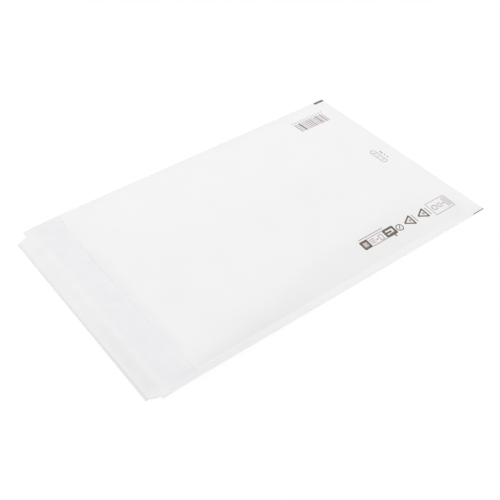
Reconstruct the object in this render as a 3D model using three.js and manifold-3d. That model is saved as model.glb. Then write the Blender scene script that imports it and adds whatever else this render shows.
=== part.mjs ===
// A padded mailing envelope that lies on its front with the flap open and laid out.
// Millimetres. The origin is on the table, under the middle of the envelope. +X runs across
// it, +Y runs from the flap to the folded bottom end, and +Z is up.
import * as THREE from "three";
import { mergeVertices } from "three/addons/utils/BufferGeometryUtils.js";
import Module from "manifold-3d";

const { clamp, lerp, smoothstep } = THREE.MathUtils;
const wasm = await Module();
wasm.setup();

// Outer sizes
const WIDTH = 250; // over both side seams
const BODY_LENGTH = 350; // from the mouth edge to the bottom fold
const FLAP_LENGTH = 50; // from the mouth edge to the flap's free edge

// Layers
const PAPER = 0.15; // thickness of the outer sheet
const PAD = 3.2; // thickness of one layer of the bubble liner
const POCKET_GAP = 0.6; // between the two layers of the liner, lying empty
const LAYER_GAP = 0.15; // clearance between a layer and the next

// Side seams, welded flat and crimped
const SEAM_WIDTH = 8;
const SEAM_THICKNESS = 0.4;
const SEAM_OVERLAP = 1; // how far the crimped strip reaches under the padding
const SEAM_LIFT_MOUTH = 2.8; // underside of the seam above the table, at the mouth
const SEAM_LIFT_FOLD = 1.4; // and at the bottom fold
const RIB_PITCH = 2;
const RIB_HEIGHT = 0.25;
const SEAM_STEP = 0.05; // edge of the padding above the ribs
const FLAP_RIB_HEIGHT = 0.1;

// How the padding swells between the seams
const SIDE_SLOPE = 24; // width of the slope beside each seam
const MOUTH_ROLL = 7; // length of the rounded roll behind the mouth edge
const MOUTH_SHARE = 0.35; // share of the height that the roll takes up
const MOUTH_SWELL = 65; // length over which the padding then swells to its full height
const UNDER_SLOPE = 30; // length over which the front panel comes down from the mouth to the table
const FOLD_SLOPE = 18; // length of the slope before the bottom band
const FOLD_SHARE = 0.5; // share of the height that this slope takes up
const FOLD_SWELL = 90; // length over which the padding swells from the bottom band
const FOLD_BAND = 8; // flat band pressed along the bottom fold

// Pocket and liner
const WELD_INSET = 1.5; // solid weld between the pocket and a seam
const LINER_INSET = 5; // liner's edge to a seam
const LINER_WRAP = 4; // liner left whole round its own fold
const LINER_PEEK = 2.6; // front layer of the liner past the mouth edge
const LINER_SETBACK = 0.5; // back layer of the liner behind the mouth edge

// Flap
const FLAP_LIFT = 1.6; // underside of the flap above the table
const RIM_WIDTH = 2.4; // bent rim along the free edge
const RIM_DROP = 1.2;
const TAB_LENGTH = 12; // from the notch to the free edge
const NOTCH_LEFT = 8.4; // depth of the notch on the -X side
const NOTCH_RIGHT = 2.6; // and on the +X side, because the tab is cut off centre
const TAB_TAPER = 4.5; // how far each side of the tab runs in towards its tip

// Adhesive and its cover
const RELEASE_WIDTH = 19.5;
const RELEASE_THICKNESS = 0.1;
const RELEASE_INSET = 0.6; // cover's ends to the cut edges of the flap
const ADHESIVE_WIDTH = 14;
const ADHESIVE_END_LEFT = 23; // adhesive's ends to the sides of the flap
const ADHESIVE_END_RIGHT = 10;
const ADHESIVE_INSET = 1; // adhesive's outer edge to the cover's outer edge
const ADHESIVE_THICKNESS = 0.1;

// Places that follow from the sizes
const CROWN = 2 * (PAPER + LAYER_GAP + PAD) + POCKET_GAP;
const X_PANEL = WIDTH / 2 - SEAM_WIDTH;
const Y_TIP = -(FLAP_LENGTH + BODY_LENGTH) / 2;
const Y_MOUTH = Y_TIP + FLAP_LENGTH;
const Y_FOLD = Y_MOUTH + BODY_LENGTH;
const Y_PAD_END = Y_FOLD - FOLD_BAND;
const Y_NOTCH = Y_TIP + TAB_LENGTH;
const Y_RIM = Y_TIP + RIM_WIDTH;
const Y_RELEASE_END = Y_RIM + RELEASE_WIDTH;
const Y_ADHESIVE = Y_RIM + ADHESIVE_INSET;
const Y_ADHESIVE_END = Y_ADHESIVE + ADHESIVE_WIDTH;
const ADHESIVE_Z = PAPER + LAYER_GAP; // above the underside of the flap
const RELEASE_Z = ADHESIVE_Z + ADHESIVE_THICKNESS + LAYER_GAP;
const CUT_MARGIN = 5; // how far a cutting form reaches past what it cuts
const MOUTH_EDGE = 0.02; // run of the steep step at the mouth edge
const FLAP_STEP = 5; // longest step between rows of the curved flap

// Columns across the panel and rows along it, closest together on the slopes
const SIDE_STEPS = [0, 0.12, 0.28, 0.48, 0.72, 1];
const END_STEPS = [0, 0.25, 0.55, 1];
const SWELL_STEPS = [0.25, 0.5, 0.75, 1];
const SIDE_COLUMNS = SIDE_STEPS.map((step) => X_PANEL - step * SIDE_SLOPE);
const COLUMNS = [...SIDE_COLUMNS.map((x) => -x), 0, ...SIDE_COLUMNS.toReversed()];
const MOUTH_ROWS = endRuns(MOUTH_ROLL, MOUTH_SWELL).map((run) => Y_MOUTH + run);
const FOLD_ROWS = endRuns(FOLD_SLOPE, FOLD_SWELL).map((run) => Y_PAD_END - run);
const FLAP_MARKS = [Y_RIM, Y_ADHESIVE, Y_ADHESIVE_END, Y_RELEASE_END, Y_MOUTH - MOUTH_EDGE];
const FLAP_ROWS = FLAP_MARKS.reduce((rows, mark) => rows.concat(stepsTo(rows.at(-1), mark)), [Y_TIP]);
const BODY_ROWS = [...MOUTH_ROWS, ...FOLD_ROWS.toReversed()];

// Runs in from one end of the padding, through its short slope and its long swell
function endRuns(slope, swell) {
  const onSlope = END_STEPS.map((step) => step * slope);
  const onSwell = SWELL_STEPS.map((step) => lerp(slope, swell, step));
  return [...onSlope, ...onSwell];
}

// Even steps from one row to a later one, without the first
function stepsTo(start, end) {
  const count = Math.ceil((end - start) / FLAP_STEP);
  return Array.from({ length: count }, (_, i) => lerp(start, end, (i + 1) / count));
}

// Quarter wave: steep at the edge and level at the top
function shoulder(run, length) {
  return Math.sin((clamp(run / length, 0, 1) * Math.PI) / 2);
}

// Share of the full height at a run in from one end: a short slope and then a long swell
function endShare(run, slope, swell, slopeShare) {
  return lerp(smoothstep(run, 0, swell), shoulder(run, slope), slopeShare);
}

// From 0 at the mouth to 1 at the flap's bent rim
function alongFlap(y) {
  return smoothstep(Y_MOUTH - y, 0, FLAP_LENGTH - RIM_WIDTH);
}

function rimDrop(y) {
  return RIM_DROP * clamp((Y_RIM - y) / RIM_WIDTH, 0, 1);
}

// Underside of the side seams, and of the flap's crimped edges
function seamLift(y) {
  if (y < Y_MOUTH) {
    return lerp(SEAM_LIFT_MOUTH, FLAP_LIFT, alongFlap(y)) - rimDrop(y);
  }
  return lerp(SEAM_LIFT_MOUTH, SEAM_LIFT_FOLD, (y - Y_MOUTH) / BODY_LENGTH);
}

// Underside of the sheet along its middle
function middleLift(y) {
  if (y < Y_MOUTH) {
    return FLAP_LIFT - rimDrop(y);
  }
  const level = lerp(FLAP_LIFT, 0, smoothstep(y - Y_MOUTH, 0, UNDER_SLOPE));
  return lerp(seamLift(y), level, smoothstep(Y_PAD_END - y, 0, FOLD_SLOPE));
}

// Outer surface of the front panel and of the flap, which face the table
function front(x, y) {
  const inward = smoothstep(X_PANEL - Math.abs(x), 0, SIDE_SLOPE);
  return lerp(seamLift(y), middleLift(y), inward);
}

// Outer surface of the back panel
function back(x, y) {
  const edge = seamLift(y) + SEAM_THICKNESS + RIB_HEIGHT + SEAM_STEP;
  const side = shoulder(X_PANEL - Math.abs(x), SIDE_SLOPE);
  const mouth = endShare(y - Y_MOUTH, MOUTH_ROLL, MOUTH_SWELL, MOUTH_SHARE);
  const fold = endShare(Y_PAD_END - y, FOLD_SLOPE, FOLD_SWELL, FOLD_SHARE);
  return edge + (CROWN - edge) * side * mouth * fold;
}

function raised(surface, height) {
  return (x, y) => surface(x, y) + height;
}

// Middle of the flat pocket
function pocketMiddle(x, y) {
  return (front(x, y) + back(x, y)) / 2;
}

// A closed form over a grid of columns and rows, from a lower to an upper surface
function slab(columns, rows, lower, upper) {
  const acrossLast = columns.length - 1;
  const alongLast = rows.length - 1;
  const box = new THREE.BoxGeometry(1, 1, 1, acrossLast, alongLast, 1);
  const points = box.attributes.position;
  for (let i = 0; i < points.count; i += 1) {
    const x = columns[Math.round((points.getX(i) + 0.5) * acrossLast)];
    const y = rows[Math.round((points.getY(i) + 0.5) * alongLast)];
    const surface = points.getZ(i) > 0 ? upper : lower;
    points.setXYZ(i, x, y, surface(x, y));
  }
  return solid(box);
}

// A plan outline made solid through the whole height of the envelope
function planCut(points) {
  const outline = new THREE.Shape(points.map(([x, y]) => new THREE.Vector2(x, y)));
  const depth = CROWN + 2 * CUT_MARGIN;
  const geometry = new THREE.ExtrudeGeometry(outline, { depth, bevelEnabled: false });
  return solid(geometry.translate(0, 0, -CUT_MARGIN));
}

function solid(geometry) {
  geometry.deleteAttribute("normal");
  geometry.deleteAttribute("uv");
  const merged = mergeVertices(geometry);
  const vertProperties = new Float32Array(merged.attributes.position.array);
  const triVerts = new Uint32Array(merged.index.array);
  return new wasm.Manifold(new wasm.Mesh({ numProp: 3, vertProperties, triVerts }));
}

function geometryOf(form) {
  const mesh = form.getMesh();
  const geometry = new THREE.BufferGeometry();
  geometry.setAttribute("position", new THREE.BufferAttribute(mesh.vertProperties, 3));
  geometry.setIndex(new THREE.BufferAttribute(mesh.triVerts, 1));
  geometry.computeVertexNormals();
  return geometry;
}

// Crimped strip along one side: two sheets welded beside the body, one sheet beside the flap
function crimpedStrip(side) {
  const under = [];
  const over = [];
  const step = RIB_PITCH / 2;
  const count = Math.ceil((Y_FOLD - Y_TIP) / step);
  for (let i = 0; i <= count; i += 1) {
    const y = Math.min(Y_TIP + i * step, Y_FOLD);
    const onFlap = y < Y_MOUTH;
    const rib = i % 2 === 0 ? 0 : onFlap ? FLAP_RIB_HEIGHT : RIB_HEIGHT;
    const z = seamLift(y) + rib;
    under.push(new THREE.Vector2(y, z));
    over.push(new THREE.Vector2(y, z + (onFlap ? PAPER : SEAM_THICKNESS)));
  }
  const profile = new THREE.Shape([...under, ...over.toReversed()]);
  const depth = SEAM_WIDTH + SEAM_OVERLAP;
  const strip = new THREE.ExtrudeGeometry(profile, { depth, bevelEnabled: false });
  const along = new THREE.Vector3(0, 1, 0);
  const upward = new THREE.Vector3(0, 0, 1);
  const across = new THREE.Vector3(1, 0, 0);
  strip.applyMatrix4(new THREE.Matrix4().makeBasis(along, upward, across));
  strip.translate(side > 0 ? X_PANEL - SEAM_OVERLAP : -WIDTH / 2, 0, 0);
  return solid(strip);
}

// Waste that the die cuts off one front corner of the flap, leaving a notch and a tapered tab
function cornerWaste(side, inset) {
  const notch = side > 0 ? NOTCH_RIGHT : NOTCH_LEFT;
  const root = side * (WIDTH / 2 - notch - inset);
  const tip = root - side * TAB_TAPER;
  const outside = side * (WIDTH / 2 + CUT_MARGIN);
  const points = [
    [outside, Y_NOTCH + inset],
    [root, Y_NOTCH + inset],
    [tip, Y_TIP],
    [tip, Y_TIP - CUT_MARGIN],
    [outside, Y_TIP - CUT_MARGIN],
  ];
  return planCut(side > 0 ? points.toReversed() : points);
}

function rectangleCut(x0, x1, y0, y1) {
  return planCut([
    [x0, y0],
    [x1, y0],
    [x1, y1],
    [x0, y1],
  ]);
}

// Columns held inside a half width, with a column at each end
function columnsWithin(halfWidth) {
  return [-halfWidth, ...COLUMNS.filter((x) => Math.abs(x) < halfWidth), halfWidth];
}

// Rows held between two places, with a row at each end
function rowsWithin(start, end) {
  const inside = [...FLAP_ROWS, ...BODY_ROWS].filter((y) => y > start && y < end);
  return [start, ...inside, end];
}

// One folded sheet: front panel and flap below, back panel above, and the welded side seams
function outerPaper() {
  const top = (x, y) => (y < Y_MOUTH ? front(x, y) + PAPER : back(x, y));
  const panels = slab(COLUMNS, [...FLAP_ROWS, ...BODY_ROWS, Y_FOLD], front, top);
  const pocket = slab(
    columnsWithin(X_PANEL - WELD_INSET),
    rowsWithin(FLAP_ROWS.at(-2), Y_PAD_END - WELD_INSET),
    raised(front, PAPER),
    raised(back, -PAPER),
  );
  return panels
    .add(crimpedStrip(-1))
    .add(crimpedStrip(1))
    .subtract(pocket)
    .subtract(cornerWaste(-1, 0))
    .subtract(cornerWaste(1, 0));
}

// One folded pad, open at the mouth and along both sides, whole at its own fold
function bubbleLiner() {
  const end = Y_PAD_END - LINER_INSET;
  const start = Y_MOUTH - LINER_PEEK;
  const pad = slab(
    columnsWithin(X_PANEL - LINER_INSET),
    rowsWithin(start, end),
    raised(front, PAPER + LAYER_GAP),
    raised(back, -PAPER - LAYER_GAP),
  );
  const slit = slab(
    COLUMNS,
    rowsWithin(start - CUT_MARGIN, end - LINER_WRAP),
    raised(pocketMiddle, -POCKET_GAP / 2),
    raised(pocketMiddle, POCKET_GAP / 2),
  );
  const setback = slab(
    COLUMNS,
    rowsWithin(start - CUT_MARGIN, Y_MOUTH + LINER_SETBACK),
    pocketMiddle,
    () => CROWN,
  );
  return pad.subtract(slit).subtract(setback);
}

function adhesiveStrip() {
  const band = slab(
    COLUMNS,
    rowsWithin(Y_ADHESIVE, Y_ADHESIVE_END),
    raised(front, ADHESIVE_Z),
    raised(front, ADHESIVE_Z + ADHESIVE_THICKNESS),
  );
  const x0 = ADHESIVE_END_LEFT - WIDTH / 2;
  const x1 = WIDTH / 2 - ADHESIVE_END_RIGHT;
  return band.intersect(rectangleCut(x0, x1, Y_TIP, Y_MOUTH));
}

function releaseLiner() {
  const band = slab(
    columnsWithin(WIDTH / 2 - RELEASE_INSET),
    rowsWithin(Y_RIM, Y_RELEASE_END),
    raised(front, RELEASE_Z),
    raised(front, RELEASE_Z + RELEASE_THICKNESS),
  );
  return band.subtract(cornerWaste(-1, RELEASE_INSET)).subtract(cornerWaste(1, RELEASE_INSET));
}

const whitePaper = new THREE.MeshStandardMaterial({ color: 0xf1f1f2, roughness: 0.75, metalness: 0 });
const clearFilm = new THREE.MeshStandardMaterial({ color: 0xf4f5f6, roughness: 0.3, metalness: 0 });
const hotMelt = new THREE.MeshStandardMaterial({ color: 0xe9e6d4, roughness: 0.35, metalness: 0 });
const coatedPaper = new THREE.MeshStandardMaterial({ color: 0xededeb, roughness: 0.45, metalness: 0 });

function piece(name, form, material) {
  const mesh = new THREE.Mesh(geometryOf(form), material);
  mesh.name = name;
  return mesh;
}

const envelope = new THREE.Group();
envelope.add(piece("outer_paper", outerPaper(), whitePaper));
envelope.add(piece("bubble_liner", bubbleLiner(), clearFilm));
envelope.add(piece("adhesive_strip", adhesiveStrip(), hotMelt));
envelope.add(piece("release_liner", releaseLiner(), coatedPaper));

export default envelope;
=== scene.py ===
# %% [markdown]
# # A padded envelope, dressed for the camera
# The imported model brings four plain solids: the folded paper, the padded liner, a strip of
# adhesive and the strip that covers it. This lesson keeps their sizes and gives each one the
# form and the finish of the real thing. Everything is in metres, in the frame of the solids:
# +X runs across the envelope, +Y from its flap to its bottom fold, and +Z is up.

# %% Load the frame
import math

import bmesh
import bpy
from mathutils import Matrix, Quaternion, Vector, noise
from mathutils.bvhtree import BVHTree


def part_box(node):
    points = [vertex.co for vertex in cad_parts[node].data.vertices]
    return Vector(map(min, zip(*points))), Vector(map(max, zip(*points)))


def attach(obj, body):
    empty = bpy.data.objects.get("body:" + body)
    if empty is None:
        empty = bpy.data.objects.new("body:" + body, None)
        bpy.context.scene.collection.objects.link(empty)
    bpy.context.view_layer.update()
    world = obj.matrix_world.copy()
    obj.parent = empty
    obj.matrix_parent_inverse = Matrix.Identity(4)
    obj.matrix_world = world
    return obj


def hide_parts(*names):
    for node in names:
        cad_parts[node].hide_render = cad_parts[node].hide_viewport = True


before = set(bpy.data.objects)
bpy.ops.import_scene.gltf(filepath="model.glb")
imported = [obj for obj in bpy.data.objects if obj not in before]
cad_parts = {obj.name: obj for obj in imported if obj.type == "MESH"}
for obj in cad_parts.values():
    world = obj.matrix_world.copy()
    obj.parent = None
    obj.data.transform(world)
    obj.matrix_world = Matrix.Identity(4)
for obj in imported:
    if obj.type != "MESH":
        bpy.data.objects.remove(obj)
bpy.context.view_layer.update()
MM = 0.001

# %% [markdown]
# ## The camera first
# The camera stands above the mouth end, off to the right, with a lens a little longer than
# normal. It could be turned by three angles, but a place and a target are easier to read, and
# Blender finds the turn between them. A small roll copies the slight tilt of the real shot.
# With the camera set first, every later step can be judged against the same picture.

# %% Camera
CAMERA_PLACE = Vector((0.4811, -0.3752, 0.5449))
CAMERA_TARGET = Vector((0.0282, -0.0249, 0.0))
CAMERA_ROLL = math.radians(0.317)
CAMERA_LENS = 59.08
CAMERA_SENSOR = 36

camera_data = bpy.data.cameras.new("camera")
camera_data.lens = CAMERA_LENS
camera_data.sensor_width = CAMERA_SENSOR
camera = bpy.data.objects.new("camera", camera_data)
aim = (CAMERA_TARGET - CAMERA_PLACE).to_track_quat("-Z", "Y")
camera.rotation_mode = "QUATERNION"
camera.rotation_quaternion = aim @ Quaternion((0, 0, 1), CAMERA_ROLL)
camera.location = CAMERA_PLACE
bpy.context.collection.objects.link(camera)
bpy.context.scene.camera = camera
print("camera is", round((CAMERA_TARGET - CAMERA_PLACE).length, 3), "m from its target")

# %% [markdown]
# ## Sizes of the envelope
# The outer sizes come from the solids. The smaller ones that several steps share, such as the
# width of a crimped seam, are written once here. Places along the length follow from them.

# %% Sizes and places
paper_low, paper_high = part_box("outer_paper")
liner_low, liner_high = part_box("bubble_liner")
adhesive_low, adhesive_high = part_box("adhesive_strip")
release_low, release_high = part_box("release_liner")
HALF_WIDTH = paper_high.x
CROWN = paper_high.z
Y_TIP = paper_low.y
Y_FOLD = paper_high.y
FLAP_LENGTH = 50 * MM
SEAM_WIDTH = 8 * MM
FOLD_BAND = 8 * MM
RIM_WIDTH = 2 * MM
PAPER = 0.11 * MM

X_PANEL = HALF_WIDTH - SEAM_WIDTH
Y_MOUTH = Y_TIP + FLAP_LENGTH
Y_PAD_END = Y_FOLD - FOLD_BAND
BODY_LENGTH = Y_FOLD - Y_MOUTH
print("body", round(BODY_LENGTH / MM), "mm long, flap", round(FLAP_LENGTH / MM), "mm")

# %% [markdown]
# ## Curves that shape paper
# Padded paper has two kinds of slope. Beside a weld it leaves the flat seam steeply and rounds
# over into the level top. Where nothing holds it, it eases from one level to another with no
# kink at either end. Slow waves come from Blender's own noise, which is the same in every run.

# %% Curves
def unit(value):
    return min(max(value, 0.0), 1.0)


def ease(value):
    t = unit(value)
    return t * t * (3 - 2 * t)


def shoulder(run, length):
    return math.sin(unit(run / length) * math.pi / 2)


def rounding(run, length, power):
    return 1 - (1 - unit(run / length)) ** power


def mix(first, second, share):
    return first + (second - first) * share


def wavy(x, y, wave):
    across, along, seed = wave
    return noise.noise((x / across, y / along, seed))


print("a quarter along, an ease is at", ease(0.25), "and a shoulder at", round(shoulder(1, 4), 2))

# %% [markdown]
# ## The crimp
# Hot toothed bars weld the sides and leave ribs across the seam, two millimetres apart. A bump
# texture could show them, but a wave in the mesh shapes the edge as well. Both layers of paper
# carry the same ribs, so the wave is a function of its own that both surfaces add. The ribs are
# deepest at the mouth and on the near side. They fade along the body, and along the flap.

# %% Ribs of the crimped seams
RIB_PITCH = 2 * MM
RIB_AT_MOUTH = 0.3 * MM
RIB_AT_FOLD = 0.1 * MM
RIB_FADE = 150 * MM
RIB_EDGE = 1.2 * MM
FLAP_RIB = 0.3 * MM
FLAP_RIB_FADE = 26 * MM
FLAP_RIB_LEFT = 0.25  # share of the depth that is left at the end of the fade
FAR_RIB_SHARE = 0.4


def rib_depth(y):
    if y < Y_MOUTH:
        return mix(FLAP_RIB, FLAP_RIB_LEFT * FLAP_RIB, ease((Y_MOUTH - y) / FLAP_RIB_FADE))
    return mix(RIB_AT_MOUTH, RIB_AT_FOLD, ease((y - Y_MOUTH) / RIB_FADE))


def rib_turn(y):
    return 2 * math.pi * (y - Y_MOUTH) / RIB_PITCH


def rib(x, y):
    pressed = ease((abs(x) - X_PANEL + RIB_EDGE) / RIB_EDGE)
    if pressed == 0:
        return 0.0
    half_depth = 0.5 * rib_depth(y) * (1 if x > 0 else FAR_RIB_SHARE)
    return half_depth * pressed * math.cos(rib_turn(y))


print("ribs are", round(rib_depth(Y_MOUTH) / MM, 2), "mm deep at the mouth")

# %% [markdown]
# ## The underside
# The front panel lies on the table. Towards the sides it lifts to meet the seams, which float a
# little above the table, higher at the mouth than at the fold. The flap carries on from the
# front panel. It waves a little, and outside the release strip it steps down to a narrow rim,
# barely at the far end and clearly at the near one. A cloth simulation could find this form. A
# height for every place gives the same form in each run, and other pieces can ask for it.

# %% Levels of the front panel and flap
SEAM_LIFT_MOUTH = 2.8 * MM
SEAM_LIFT_FOLD = 1.4 * MM
FLAP_LIFT = 1.6 * MM
FRONT_SLOPE = 18 * MM
UNDER_SLOPE = 30 * MM


def along_flap(y):
    return ease((Y_MOUTH - y) / (FLAP_LENGTH - RIM_WIDTH))


def seam_lift(y):
    if y < Y_MOUTH:
        return mix(SEAM_LIFT_MOUTH, FLAP_LIFT, along_flap(y))
    return mix(SEAM_LIFT_MOUTH, SEAM_LIFT_FOLD, (y - Y_MOUTH) / BODY_LENGTH)


def middle_lift(y):
    if y < Y_MOUTH:
        return FLAP_LIFT
    level = FLAP_LIFT * (1 - ease((y - Y_MOUTH) / UNDER_SLOPE))
    return mix(seam_lift(y), level, ease((Y_PAD_END - y) / FRONT_SLOPE))


print("front panel lies at", round(middle_lift(0) / MM, 2), "mm in its middle")

# %% [markdown]
# The rim and the waves of the flap are small forms that come on top of those levels. So is the
# bulge beside the near weld, where the paper gathers at the mouth. The film and both layers of
# paper share that bulge.

# %% Rim, waves and bulge
RIM_STEP = 0.6 * MM
RIM_FAR = 0.9 * MM
RIM_DROP_FAR = 0.25 * MM
RIM_DROP_NEAR = 0.6 * MM
RIM_MIDDLE = 0.35  # how far the middle of the rim is on its way from the far form to the near one
EDGE_DROP = 0.35 * MM
EDGE_REACH = 1.2 * MM
FLAP_WAVE = 0.3 * MM
# Length of a wave across and along, and the place in the noise that it is taken from
FLAP_BROAD = (46 * MM, 38 * MM, 8.1)
FLAP_SMALL = (24 * MM, 19 * MM, 2.6)
FLAP_SMALL_SHARE = 0.25
WELD_BULGE = 0.8 * MM
BULGE_RISE = 10 * MM
BULGE_CREST = 15 * MM
BULGE_FALL = 80 * MM
BULGE_FROM_TIP = 15 * MM
BULGE_GROW = 25 * MM
BULGE_PAST_MOUTH = 50 * MM
BULGE_SHRINK = 35 * MM


def rim_drop(x, y):
    near = ease(RIM_MIDDLE + (1 - RIM_MIDDLE) * x / HALF_WIDTH)
    start = Y_TIP + mix(RIM_FAR, RIM_WIDTH, near)
    edge = unit((Y_TIP + EDGE_REACH - y) / EDGE_REACH)
    step_down = mix(RIM_DROP_FAR, RIM_DROP_NEAR, near) * ease((start - y) / RIM_STEP)
    return step_down + EDGE_DROP * edge


def flap_wave(x, y):
    wave = wavy(x, y, FLAP_BROAD) + FLAP_SMALL_SHARE * wavy(x, y, FLAP_SMALL)
    return FLAP_WAVE * wave * along_flap(y)


def weld_bulge(x, y):
    run = X_PANEL - x
    if run <= 0 or x <= 0:
        return 0.0
    across = rounding(run, BULGE_RISE, power=2) * (1 - ease((run - BULGE_CREST) / BULGE_FALL))
    started = ease((y - Y_TIP - BULGE_FROM_TIP) / BULGE_GROW)
    ended = ease((Y_MOUTH + BULGE_PAST_MOUTH - y) / BULGE_SHRINK)
    return WELD_BULGE * across * started * ended


print("bulge at the mouth", round(weld_bulge(X_PANEL - BULGE_CREST, Y_MOUTH) / MM, 2), "mm")

# %% [markdown]
# Now the parts come together. The slope from a seam to the middle is long on the flap and short
# on the front panel, and it changes over a short stretch about the mouth.

# %% Height of the front panel and flap
FLAP_SLOPE = 45 * MM
SLOPE_CHANGE = 40 * MM
LEAST_HEIGHT = 0.01 * MM


def front_height(x, y):
    changed = ease((y - Y_MOUTH + SLOPE_CHANGE / 2) / SLOPE_CHANGE)
    inward = ease((X_PANEL - abs(x)) / mix(FLAP_SLOPE, FRONT_SLOPE, changed))
    level = mix(seam_lift(y), middle_lift(y), inward) + weld_bulge(x, y)
    if y < Y_MOUTH:
        level += flap_wave(x, y) - rim_drop(x, y)
    return max(level + rib(x, y), LEAST_HEIGHT)


print("flap lies at", round(front_height(0, Y_TIP + FLAP_LENGTH / 2) / MM, 2), "mm")

# %% [markdown]
# ## The padded top
# The back panel is soft. Close to the mouth it stays full nearly up to the right-hand seam, and
# halfway down it relaxes into a long slope, so the width and the roundness of that slope change
# along the length. Both ends start with a short rise and go on as a long swell. One share from
# nothing to full describes all of this, so that the dimples of the paper can use it too.

# %% Share of the padding at a place
MOUTH_ROLL = 7 * MM
MOUTH_SHARE = 0.26
MOUTH_SWELL = 65 * MM
FOLD_SLOPE = 20 * MM
FOLD_SHARE = 0.45
FOLD_SWELL = 90 * MM
# Width of the slope on the far side, and how round it is
FAR_SLOPE = (105 * MM, 1.2)
# Place along the length, width of the slope there on the near side, and how round it is
NEAR_SLOPES = [
    (-80 * MM, 60 * MM, 4.5),
    (-30 * MM, 34 * MM, 1.5),
    (60 * MM, 42 * MM, 1.35),
    (140 * MM, 46 * MM, 1.3),
    (192 * MM, 24 * MM, 1.6),
]


def between_places(places, y):
    values = places[0][1:]
    for before, after in zip(places, places[1:]):
        share = ease((y - before[0]) / (after[0] - before[0]))
        if share > 0:
            values = [mix(low, high, share) for low, high in zip(before[1:], after[1:])]
    return values


def end_share(run, slope, swell_length, slope_share):
    return mix(ease(run / swell_length), shoulder(run, slope), slope_share)


def padding(x, y):
    width, power = between_places(NEAR_SLOPES, y) if x > 0 else FAR_SLOPE
    side = rounding(X_PANEL - abs(x), width, power)
    mouth = end_share(y - Y_MOUTH, MOUTH_ROLL, MOUTH_SWELL, MOUTH_SHARE)
    fold = end_share(Y_PAD_END - y, FOLD_SLOPE, FOLD_SWELL, FOLD_SHARE)
    return side * mouth * fold


print("padding in the middle is", round(padding(0, 0), 2), "of its full height")

# %% [markdown]
# Noise adds slow swells to the top, and small puckers where the weld gathers the paper. The free
# edge at the mouth, the lip, sinks a little between the seams.

# %% Height of the back panel
WELD_FILM = 0.04 * MM
SEAM_THICKNESS = 2 * PAPER + WELD_FILM
SWELL = 0.3 * MM
SWELL_BROAD = (75 * MM, 90 * MM, 1.3)
SWELL_SMALL = (40 * MM, 44 * MM, 4.7)
SWELL_SMALL_SHARE = 0.3
PUCKER = 0.14 * MM
PUCKER_REACH = 9 * MM
PUCKER_WAVE = (1, 8 * MM, 0.4)
PUCKER_ROW = 3.0  # distance in the noise from the middle to the row that one weld uses
PUCKER_FROM = 0.25  # share of the padding from which puckers have their full size
LIP_DIP = 0.45 * MM
LIP_REACH = 12 * MM
LIP_SIDE = 30 * MM


def swell(x, y):
    return SWELL * (wavy(x, y, SWELL_BROAD) + SWELL_SMALL_SHARE * wavy(x, y, SWELL_SMALL))


def pucker(x, y):
    run = X_PANEL - abs(x)
    if run <= 0:
        return 0.0
    wave = wavy(math.copysign(PUCKER_ROW, x), y, PUCKER_WAVE)
    return PUCKER * wave * unit(run / PUCKER_REACH) * math.exp(-run / PUCKER_REACH)


def lip_share(x, y):
    back_from_lip = 1 - ease((y - Y_MOUTH) / LIP_REACH)
    return back_from_lip * ease((X_PANEL - abs(x)) / LIP_SIDE)


def back_height(x, y):
    edge = seam_lift(y) + SEAM_THICKNESS
    full = padding(x, y)
    level = edge + (CROWN - SWELL - edge + swell(x, y)) * full
    level += pucker(x, y) * unit(full / PUCKER_FROM)
    level += weld_bulge(x, y) - LIP_DIP * lip_share(x, y)
    return min(level + rib(x, y), CROWN)


print("top of the padding at the middle", round(back_height(0, 0) / MM, 2), "mm")

# %% [markdown]
# ## Helpers for sheets
# A sheet starts as a flat grid. The grid's columns and rows are set close together where the
# sheet will bend and far apart where it stays level. A finished mesh becomes an object at the
# origin, with smooth faces and sharp cut edges.

# %% Grid and object helpers
SHARP_ANGLE = math.radians(50)
STEP_SLACK = 1e-6


def flat_grid(columns, rows):
    bm = bmesh.new()
    across = len(columns) - 1
    along = len(rows) - 1
    bmesh.ops.create_grid(bm, x_segments=across, y_segments=along, size=0.5)
    for vert in bm.verts:
        i = round((vert.co.x + 0.5) * across)
        j = round((vert.co.y + 0.5) * along)
        vert.co = (columns[i], rows[j], 0)
    return bm


def steps(start, end, step):
    count = max(1, math.ceil(abs(end - start) / step - STEP_SLACK))
    return [mix(start, end, i / count) for i in range(count + 1)]


def finish_piece(name, bm, *materials):
    for face in bm.faces:
        face.smooth = True
    mesh = bpy.data.meshes.new(name)
    bm.to_mesh(mesh)
    bm.free()
    mesh.set_sharp_from_angle(angle=SHARP_ANGLE)
    for material in materials:
        mesh.materials.append(material)
    piece = bpy.data.objects.new(name, mesh)
    bpy.context.collection.objects.link(piece)
    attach(piece, "root")
    print(name, len(mesh.polygons), "faces")
    return piece


print("steps of 4 or less from 0 to 10:", [round(place, 2) for place in steps(0, 10, 4)])

# %% [markdown]
# ## Materials from nodes
# Each finish is a small node tree on Object coordinates. Short helpers add a node, fill its
# sockets and join it to the next, so that each material below reads as a list of what it is made
# of. A picture could be painted for each piece, but nodes stay sharp at any distance.

# %% Node helpers
PLAIN_SHINE = 0.5


def new_material(name, colour, roughness, shine=PLAIN_SHINE):
    material = bpy.data.materials.new(name)
    material.use_nodes = True
    shader = material.node_tree.nodes["Principled BSDF"]
    shader.inputs["Base Color"].default_value = (*colour, 1)
    shader.inputs["Roughness"].default_value = roughness
    shader.inputs["Specular IOR Level"].default_value = shine
    return material, shader


def add_node(material, kind, values=None, **settings):
    node = material.node_tree.nodes.new(kind)
    for name, value in settings.items():
        setattr(node, name, value)
    for socket, value in (values or {}).items():
        node.inputs[socket].default_value = value
    return node


def join(material, output, socket):
    material.node_tree.links.new(output, socket)


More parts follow.
